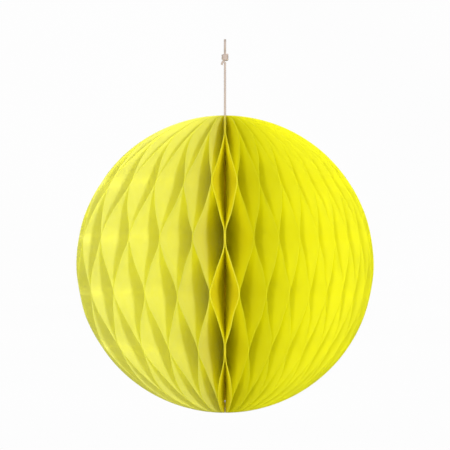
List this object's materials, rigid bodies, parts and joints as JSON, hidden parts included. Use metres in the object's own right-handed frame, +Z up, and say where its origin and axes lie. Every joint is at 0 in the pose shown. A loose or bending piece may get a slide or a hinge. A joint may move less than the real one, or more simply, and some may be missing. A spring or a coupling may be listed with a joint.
{
  "type": "paper honeycomb ball",
  "caption": "Tissue-paper honeycomb ball that hangs on a thread: a fan of glued half-round leaves that opens all the way round its spine and closes flat.",
  "frame": {"origin": "the bearing point of the hanging loop, at the top of the opening of its eye, where the line it hangs on lies", "axes": "+Z up along the thread; -Y towards the viewer, where the two cover leaves meet; the line passes through the eye along X"},
  "size_m": [0.0998, 0.0999, 0.1257],
  "materials": {
    "tissue": "matte translucent tissue paper",
    "cover": "matte coloured cover paper",
    "thread": "twisted cotton thread",
    "adhesive": "soft clear-cream adhesive dot"
  },
  "bodies": {
    "hanger": {"hanging_loop": "thread"},
    "knot": {"loop_knot": "thread"},
    "pendulum": {"hanging_thread": "thread", "foot_knot": "thread"},
    "ball": {"spine_binding": "tissue", "tissue_sheet_19": "tissue"},
    "left_cover": {"cover_leaf_left": "cover"},
    "right_cover": {"cover_leaf_right": "cover", "closing_dot_top": "adhesive", "closing_dot_middle": "adhesive", "closing_dot_bottom": "adhesive"},
    "sheet_01": {"tissue_sheet_01": "tissue"},
    "sheet_02": {"tissue_sheet_02": "tissue"},
    "sheet_03": {"tissue_sheet_03": "tissue"},
    "sheet_04": {"tissue_sheet_04": "tissue"},
    "sheet_05": {"tissue_sheet_05": "tissue"},
    "sheet_06": {"tissue_sheet_06": "tissue"},
    "sheet_07": {"tissue_sheet_07": "tissue"},
    "sheet_08": {"tissue_sheet_08": "tissue"},
    "sheet_09": {"tissue_sheet_09": "tissue"},
    "sheet_10": {"tissue_sheet_10": "tissue"},
    "sheet_11": {"tissue_sheet_11": "tissue"},
    "sheet_12": {"tissue_sheet_12": "tissue"},
    "sheet_13": {"tissue_sheet_13": "tissue"},
    "sheet_14": {"tissue_sheet_14": "tissue"},
    "sheet_15": {"tissue_sheet_15": "tissue"},
    "sheet_16": {"tissue_sheet_16": "tissue"},
    "sheet_17": {"tissue_sheet_17": "tissue"},
    "sheet_18": {"tissue_sheet_18": "tissue"},
    "sheet_20": {"tissue_sheet_20": "tissue"},
    "sheet_21": {"tissue_sheet_21": "tissue"},
    "sheet_22": {"tissue_sheet_22": "tissue"},
    "sheet_23": {"tissue_sheet_23": "tissue"},
    "sheet_24": {"tissue_sheet_24": "tissue"},
    "sheet_25": {"tissue_sheet_25": "tissue"},
    "sheet_26": {"tissue_sheet_26": "tissue"},
    "sheet_27": {"tissue_sheet_27": "tissue"},
    "sheet_28": {"tissue_sheet_28": "tissue"},
    "sheet_29": {"tissue_sheet_29": "tissue"},
    "sheet_30": {"tissue_sheet_30": "tissue"},
    "sheet_31": {"tissue_sheet_31": "tissue"},
    "sheet_32": {"tissue_sheet_32": "tissue"},
    "sheet_33": {"tissue_sheet_33": "tissue"},
    "sheet_34": {"tissue_sheet_34": "tissue"},
    "sheet_35": {"tissue_sheet_35": "tissue"},
    "sheet_36": {"tissue_sheet_36": "tissue"},
    "sheet_37": {"tissue_sheet_37": "tissue"},
    "sheet_38": {"tissue_sheet_38": "tissue"},
    "sheet_39": {"tissue_sheet_39": "tissue"},
    "sheet_40": {"tissue_sheet_40": "tissue"},
    "sheet_41": {"tissue_sheet_41": "tissue"},
    "sheet_42": {"tissue_sheet_42": "tissue"},
    "sheet_43": {"tissue_sheet_43": "tissue"},
    "sheet_44": {"tissue_sheet_44": "tissue"},
    "sheet_45": {"tissue_sheet_45": "tissue"},
    "sheet_46": {"tissue_sheet_46": "tissue"},
    "sheet_47": {"tissue_sheet_47": "tissue"},
    "sheet_48": {"tissue_sheet_48": "tissue"},
    "sheet_49": {"tissue_sheet_49": "tissue"},
    "sheet_50": {"tissue_sheet_50": "tissue"}
  },
  "joints": [
    {"name": "swing_front", "type": "hinge", "parent": "hanger", "child": "knot", "pos_m": [0, 0, -0.0054], "axis": [1, 0, 0], "range_deg": [-35, 35]},
    {"name": "swing_side", "type": "hinge", "parent": "knot", "child": "pendulum", "pos_m": [0, 0, -0.0054], "axis": [0, 1, 0], "range_deg": [-35, 35]},
    {"name": "ball_turn", "type": "hinge", "parent": "pendulum", "child": "ball", "pos_m": [0, 0, -0.0752], "axis": [0, 0, 1], "continuous": true},
    {"name": "fan_fold", "type": "hinge", "parent": "ball", "child": "left_cover", "pos_m": [0, 0, -0.0752], "axis": [0, 0, -1], "range_deg": [0, 260.42], "deforming": ["cover_leaf_left", "tissue_sheet_19"]},
    {"name": "fold_right_cover", "type": "hinge", "parent": "ball", "child": "right_cover", "pos_m": [0, 0, -0.0752], "axis": [0, 0, -1], "range_deg": [-87.92, 0], "deforming": ["cover_leaf_right", "closing_dot_top", "closing_dot_middle", "closing_dot_bottom"]},
    {"name": "fold_sheet_01", "type": "hinge", "parent": "ball", "child": "sheet_01", "pos_m": [0, 0, -0.0752], "axis": [0, 0, -1], "range_deg": [-82.74, 0], "deforming": ["tissue_sheet_01"]},
    {"name": "fold_sheet_02", "type": "hinge", "parent": "ball", "child": "sheet_02", "pos_m": [0, 0, -0.0752], "axis": [0, 0, -1], "range_deg": [-77.81, 0], "deforming": ["tissue_sheet_02"]},
    {"name": "fold_sheet_03", "type": "hinge", "parent": "ball", "child": "sheet_03", "pos_m": [0, 0, -0.0752], "axis": [0, 0, -1], "range_deg": [-73.11, 0], "deforming": ["tissue_sheet_03"]},
    {"name": "fold_sheet_04", "type": "hinge", "parent": "ball", "child": "sheet_04", "pos_m": [0, 0, -0.0752], "axis": [0, 0, -1], "range_deg": [-68.62, 0], "deforming": ["tissue_sheet_04"]},
    {"name": "fold_sheet_05", "type": "hinge", "parent": "ball", "child": "sheet_05", "pos_m": [0, 0, -0.0752], "axis": [0, 0, -1], "range_deg": [-64.29, 0], "deforming": ["tissue_sheet_05"]},
    {"name": "fold_sheet_06", "type": "hinge", "parent": "ball", "child": "sheet_06", "pos_m": [0, 0, -0.0752], "axis": [0, 0, -1], "range_deg": [-60.09, 0], "deforming": ["tissue_sheet_06"]},
    {"name": "fold_sheet_07", "type": "hinge", "parent": "ball", "child": "sheet_07", "pos_m": [0, 0, -0.0752], "axis": [0, 0, -1], "range_deg": [-55.99, 0], "deforming": ["tissue_sheet_07"]},
    {"name": "fold_sheet_08", "type": "hinge", "parent": "ball", "child": "sheet_08", "pos_m": [0, 0, -0.0752], "axis": [0, 0, -1], "range_deg": [-51.94, 0], "deforming": ["tissue_sheet_08"]},
    {"name": "fold_sheet_09", "type": "hinge", "parent": "ball", "child": "sheet_09", "pos_m": [0, 0, -0.0752], "axis": [0, 0, -1], "range_deg": [-47.9, 0], "deforming": ["tissue_sheet_09"]},
    {"name": "fold_sheet_10", "type": "hinge", "parent": "ball", "child": "sheet_10", "pos_m": [0, 0, -0.0752], "axis": [0, 0, -1], "range_deg": [-43.84, 0], "deforming": ["tissue_sheet_10"]},
    {"name": "fold_sheet_11", "type": "hinge", "parent": "ball", "child": "sheet_11", "pos_m": [0, 0, -0.0752], "axis": [0, 0, -1], "range_deg": [-39.71, 0], "deforming": ["tissue_sheet_11"]},
    {"name": "fold_sheet_12", "type": "hinge", "parent": "ball", "child": "sheet_12", "pos_m": [0, 0, -0.0752], "axis": [0, 0, -1], "range_deg": [-35.48, 0], "deforming": ["tissue_sheet_12"]},
    {"name": "fold_sheet_13", "type": "hinge", "parent": "ball", "child": "sheet_13", "pos_m": [0, 0, -0.0752], "axis": [0, 0, -1], "range_deg": [-31.1, 0], "deforming": ["tissue_sheet_13"]},
    {"name": "fold_sheet_14", "type": "hinge", "parent": "ball", "child": "sheet_14", "pos_m": [0, 0, -0.0752], "axis": [0, 0, -1], "range_deg": [-26.54, 0], "deforming": ["tissue_sheet_14"]},
    {"name": "fold_sheet_15", "type": "hinge", "parent": "ball", "child": "sheet_15", "pos_m": [0, 0, -0.0752], "axis": [0, 0, -1], "range_deg": [-21.77, 0], "deforming": ["tissue_sheet_15"]},
    {"name": "fold_sheet_16", "type": "hinge", "parent": "ball", "child": "sheet_16", "pos_m": [0, 0, -0.0752], "axis": [0, 0, -1], "range_deg": [-16.77, 0], "deforming": ["tissue_sheet_16"]},
    {"name": "fold_sheet_17", "type": "hinge", "parent": "ball", "child": "sheet_17", "pos_m": [0, 0, -0.0752], "axis": [0, 0, -1], "range_deg": [-11.49, 0], "deforming": ["tissue_sheet_17"]},
    {"name": "fold_sheet_18", "type": "hinge", "parent": "ball", "child": "sheet_18", "pos_m": [0, 0, -0.0752], "axis": [0, 0, -1], "range_deg": [-5.93, 0], "deforming": ["tissue_sheet_18"]},
    {"name": "fold_sheet_20", "type": "hinge", "parent": "ball", "child": "sheet_20", "pos_m": [0, 0, -0.0752], "axis": [0, 0, -1], "range_deg": [0, 6.25], "deforming": ["tissue_sheet_20"]},
    {"name": "fold_sheet_21", "type": "hinge", "parent": "ball", "child": "sheet_21", "pos_m": [0, 0, -0.0752], "axis": [0, 0, -1], "range_deg": [0, 12.77], "deforming": ["tissue_sheet_21"]},
    {"name": "fold_sheet_22", "type": "hinge", "parent": "ball", "child": "sheet_22", "pos_m": [0, 0, -0.0752], "axis": [0, 0, -1], "range_deg": [0, 19.63], "deforming": ["tissue_sheet_22"]},
    {"name": "fold_sheet_23", "type": "hinge", "parent": "ball", "child": "sheet_23", "pos_m": [0, 0, -0.0752], "axis": [0, 0, -1], "range_deg": [0, 26.82], "deforming": ["tissue_sheet_23"]},
    {"name": "fold_sheet_24", "type": "hinge", "parent": "ball", "child": "sheet_24", "pos_m": [0, 0, -0.0752], "axis": [0, 0, -1], "range_deg": [0, 34.33], "deforming": ["tissue_sheet_24"]},
    {"name": "fold_sheet_25", "type": "hinge", "parent": "ball", "child": "sheet_25", "pos_m": [0, 0, -0.0752], "axis": [0, 0, -1], "range_deg": [0, 42.17], "deforming": ["tissue_sheet_25"]},
    {"name": "fold_sheet_26", "type": "hinge", "parent": "ball", "child": "sheet_26", "pos_m": [0, 0, -0.0752], "axis": [0, 0, -1], "range_deg": [0, 50.3], "deforming": ["tissue_sheet_26"]},
    {"name": "fold_sheet_27", "type": "hinge", "parent": "ball", "child": "sheet_27", "pos_m": [0, 0, -0.0752], "axis": [0, 0, -1], "range_deg": [0, 58.72], "deforming": ["tissue_sheet_27"]},
    {"name": "fold_sheet_28", "type": "hinge", "parent": "ball", "child": "sheet_28", "pos_m": [0, 0, -0.0752], "axis": [0, 0, -1], "range_deg": [0, 67.4], "deforming": ["tissue_sheet_28"]},
    {"name": "fold_sheet_29", "type": "hinge", "parent": "ball", "child": "sheet_29", "pos_m": [0, 0, -0.0752], "axis": [0, 0, -1], "range_deg": [0, 76.31], "deforming": ["tissue_sheet_29"]},
    {"name": "fold_sheet_30", "type": "hinge", "parent": "ball", "child": "sheet_30", "pos_m": [0, 0, -0.0752], "axis": [0, 0, -1], "range_deg": [0, 85.42], "deforming": ["tissue_sheet_30"]},
    {"name": "fold_sheet_31", "type": "hinge", "parent": "ball", "child": "sheet_31", "pos_m": [0, 0, -0.0752], "axis": [0, 0, -1], "range_deg": [0, 94.7], "deforming": ["tissue_sheet_31"]},
    {"name": "fold_sheet_32", "type": "hinge", "parent": "ball", "child": "sheet_32", "pos_m": [0, 0, -0.0752], "axis": [0, 0, -1], "range_deg": [0, 104.11], "deforming": ["tissue_sheet_32"]},
    {"name": "fold_sheet_33", "type": "hinge", "parent": "ball", "child": "sheet_33", "pos_m": [0, 0, -0.0752], "axis": [0, 0, -1], "range_deg": [0, 113.61], "deforming": ["tissue_sheet_33"]},
    {"name": "fold_sheet_34", "type": "hinge", "parent": "ball", "child": "sheet_34", "pos_m": [0, 0, -0.0752], "axis": [0, 0, -1], "range_deg": [0, 123.17], "deforming": ["tissue_sheet_34"]},
    {"name": "fold_sheet_35", "type": "hinge", "parent": "ball", "child": "sheet_35", "pos_m": [0, 0, -0.0752], "axis": [0, 0, -1], "range_deg": [0, 132.74], "deforming": ["tissue_sheet_35"]},
    {"name": "fold_sheet_36", "type": "hinge", "parent": "ball", "child": "sheet_36", "pos_m": [0, 0, -0.0752], "axis": [0, 0, -1], "range_deg": [0, 142.28], "deforming": ["tissue_sheet_36"]},
    {"name": "fold_sheet_37", "type": "hinge", "parent": "ball", "child": "sheet_37", "pos_m": [0, 0, -0.0752], "axis": [0, 0, -1], "range_deg": [0, 151.76], "deforming": ["tissue_sheet_37"]},
    {"name": "fold_sheet_38", "type": "hinge", "parent": "ball", "child": "sheet_38", "pos_m": [0, 0, -0.0752], "axis": [0, 0, -1], "range_deg": [0, 161.13], "deforming": ["tissue_sheet_38"]},
    {"name": "fold_sheet_39", "type": "hinge", "parent": "ball", "child": "sheet_39", "pos_m": [0, 0, -0.0752], "axis": [0, 0, -1], "range_deg": [0, 170.36], "deforming": ["tissue_sheet_39"]},
    {"name": "fold_sheet_40", "type": "hinge", "parent": "ball", "child": "sheet_40", "pos_m": [0, 0, -0.0752], "axis": [0, 0, -1], "range_deg": [0, 179.41], "deforming": ["tissue_sheet_40"]},
    {"name": "fold_sheet_41", "type": "hinge", "parent": "ball", "child": "sheet_41", "pos_m": [0, 0, -0.0752], "axis": [0, 0, -1], "range_deg": [0, 188.25], "deforming": ["tissue_sheet_41"]},
    {"name": "fold_sheet_42", "type": "hinge", "parent": "ball", "child": "sheet_42", "pos_m": [0, 0, -0.0752], "axis": [0, 0, -1], "range_deg": [0, 196.84], "deforming": ["tissue_sheet_42"]},
    {"name": "fold_sheet_43", "type": "hinge", "parent": "ball", "child": "sheet_43", "pos_m": [0, 0, -0.0752], "axis": [0, 0, -1], "range_deg": [0, 205.18], "deforming": ["tissue_sheet_43"]},
    {"name": "fold_sheet_44", "type": "hinge", "parent": "ball", "child": "sheet_44", "pos_m": [0, 0, -0.0752], "axis": [0, 0, -1], "range_deg": [0, 213.22], "deforming": ["tissue_sheet_44"]},
    {"name": "fold_sheet_45", "type": "hinge", "parent": "ball", "child": "sheet_45", "pos_m": [0, 0, -0.0752], "axis": [0, 0, -1], "range_deg": [0, 220.95], "deforming": ["tissue_sheet_45"]},
    {"name": "fold_sheet_46", "type": "hinge", "parent": "ball", "child": "sheet_46", "pos_m": [0, 0, -0.0752], "axis": [0, 0, -1], "range_deg": [0, 228.36], "deforming": ["tissue_sheet_46"]},
    {"name": "fold_sheet_47", "type": "hinge", "parent": "ball", "child": "sheet_47", "pos_m": [0, 0, -0.0752], "axis": [0, 0, -1], "range_deg": [0, 235.45], "deforming": ["tissue_sheet_47"]},
    {"name": "fold_sheet_48", "type": "hinge", "parent": "ball", "child": "sheet_48", "pos_m": [0, 0, -0.0752], "axis": [0, 0, -1], "range_deg": [0, 242.2], "deforming": ["tissue_sheet_48"]},
    {"name": "fold_sheet_49", "type": "hinge", "parent": "ball", "child": "sheet_49", "pos_m": [0, 0, -0.0752], "axis": [0, 0, -1], "range_deg": [0, 248.61], "deforming": ["tissue_sheet_49"]},
    {"name": "fold_sheet_50", "type": "hinge", "parent": "ball", "child": "sheet_50", "pos_m": [0, 0, -0.0752], "axis": [0, 0, -1], "range_deg": [0, 254.7], "deforming": ["tissue_sheet_50"]}
  ],
  "couplings": [
    {"joint": "fold_right_cover", "follows": "fan_fold", "ratio": -0.33742},
    {"joint": "fold_sheet_01", "follows": "fan_fold", "ratio": -0.3175},
    {"joint": "fold_sheet_02", "follows": "fan_fold", "ratio": -0.29857},
    {"joint": "fold_sheet_03", "follows": "fan_fold", "ratio": -0.28054},
    {"joint": "fold_sheet_04", "follows": "fan_fold", "ratio": -0.26328},
    {"joint": "fold_sheet_05", "follows": "fan_fold", "ratio": -0.24666},
    {"joint": "fold_sheet_06", "follows": "fan_fold", "ratio": -0.23054},
    {"joint": "fold_sheet_07", "follows": "fan_fold", "ratio": -0.21478},
    {"joint": "fold_sheet_08", "follows": "fan_fold", "ratio": -0.19923},
    {"joint": "fold_sheet_09", "follows": "fan_fold", "ratio": -0.18374},
    {"joint": "fold_sheet_10", "follows": "fan_fold", "ratio": -0.16813},
    {"joint": "fold_sheet_11", "follows": "fan_fold", "ratio": -0.15228},
    {"joint": "fold_sheet_12", "follows": "fan_fold", "ratio": -0.13602},
    {"joint": "fold_sheet_13", "follows": "fan_fold", "ratio": -0.11921},
    {"joint": "fold_sheet_14", "follows": "fan_fold", "ratio": -0.10171},
    {"joint": "fold_sheet_15", "follows": "fan_fold", "ratio": -0.083403},
    {"joint": "fold_sheet_16", "follows": "fan_fold", "ratio": -0.064172},
    {"joint": "fold_sheet_17", "follows": "fan_fold", "ratio": -0.043915},
    {"joint": "fold_sheet_18", "follows": "fan_fold", "ratio": -0.022548},
    {"joint": "fold_sheet_20", "follows": "fan_fold", "ratio": 0.02378},
    {"joint": "fold_sheet_21", "follows": "fan_fold", "ratio": 0.048827},
    {"joint": "fold_sheet_22", "follows": "fan_fold", "ratio": 0.075156},
    {"joint": "fold_sheet_23", "follows": "fan_fold", "ratio": 0.10276},
    {"joint": "fold_sheet_24", "follows": "fan_fold", "ratio": 0.13163},
    {"joint": "fold_sheet_25", "follows": "fan_fold", "ratio": 0.16171},
    {"joint": "fold_sheet_26", "follows": "fan_fold", "ratio": 0.19296},
    {"joint": "fold_sheet_27", "follows": "fan_fold", "ratio": 0.22528},
    {"joint": "fold_sheet_28", "follows": "fan_fold", "ratio": 0.25861},
    {"joint": "fold_sheet_29", "follows": "fan_fold", "ratio": 0.29282},
    {"joint": "fold_sheet_30", "follows": "fan_fold", "ratio": 0.32781},
    {"joint": "fold_sheet_31", "follows": "fan_fold", "ratio": 0.36343},
    {"joint": "fold_sheet_32", "follows": "fan_fold", "ratio": 0.39956},
    {"joint": "fold_sheet_33", "follows": "fan_fold", "ratio": 0.43605},
    {"joint": "fold_sheet_34", "follows": "fan_fold", "ratio": 0.47275},
    {"joint": "fold_sheet_35", "follows": "fan_fold", "ratio": 0.5095},
    {"joint": "fold_sheet_36", "follows": "fan_fold", "ratio": 0.54614},
    {"joint": "fold_sheet_37", "follows": "fan_fold", "ratio": 0.58253},
    {"joint": "fold_sheet_38", "follows": "fan_fold", "ratio": 0.61852},
    {"joint": "fold_sheet_39", "follows": "fan_fold", "ratio": 0.65396},
    {"joint": "fold_sheet_40", "follows": "fan_fold", "ratio": 0.68871},
    {"joint": "fold_sheet_41", "follows": "fan_fold", "ratio": 0.72265},
    {"joint": "fold_sheet_42", "follows": "fan_fold", "ratio": 0.75566},
    {"joint": "fold_sheet_43", "follows": "fan_fold", "ratio": 0.78765},
    {"joint": "fold_sheet_44", "follows": "fan_fold", "ratio": 0.81853},
    {"joint": "fold_sheet_45", "follows": "fan_fold", "ratio": 0.84823},
    {"joint": "fold_sheet_46", "follows": "fan_fold", "ratio": 0.8767},
    {"joint": "fold_sheet_47", "follows": "fan_fold", "ratio": 0.9039},
    {"joint": "fold_sheet_48", "follows": "fan_fold", "ratio": 0.92982},
    {"joint": "fold_sheet_49", "follows": "fan_fold", "ratio": 0.95446},
    {"joint": "fold_sheet_50", "follows": "fan_fold", "ratio": 0.97784}
  ]
}
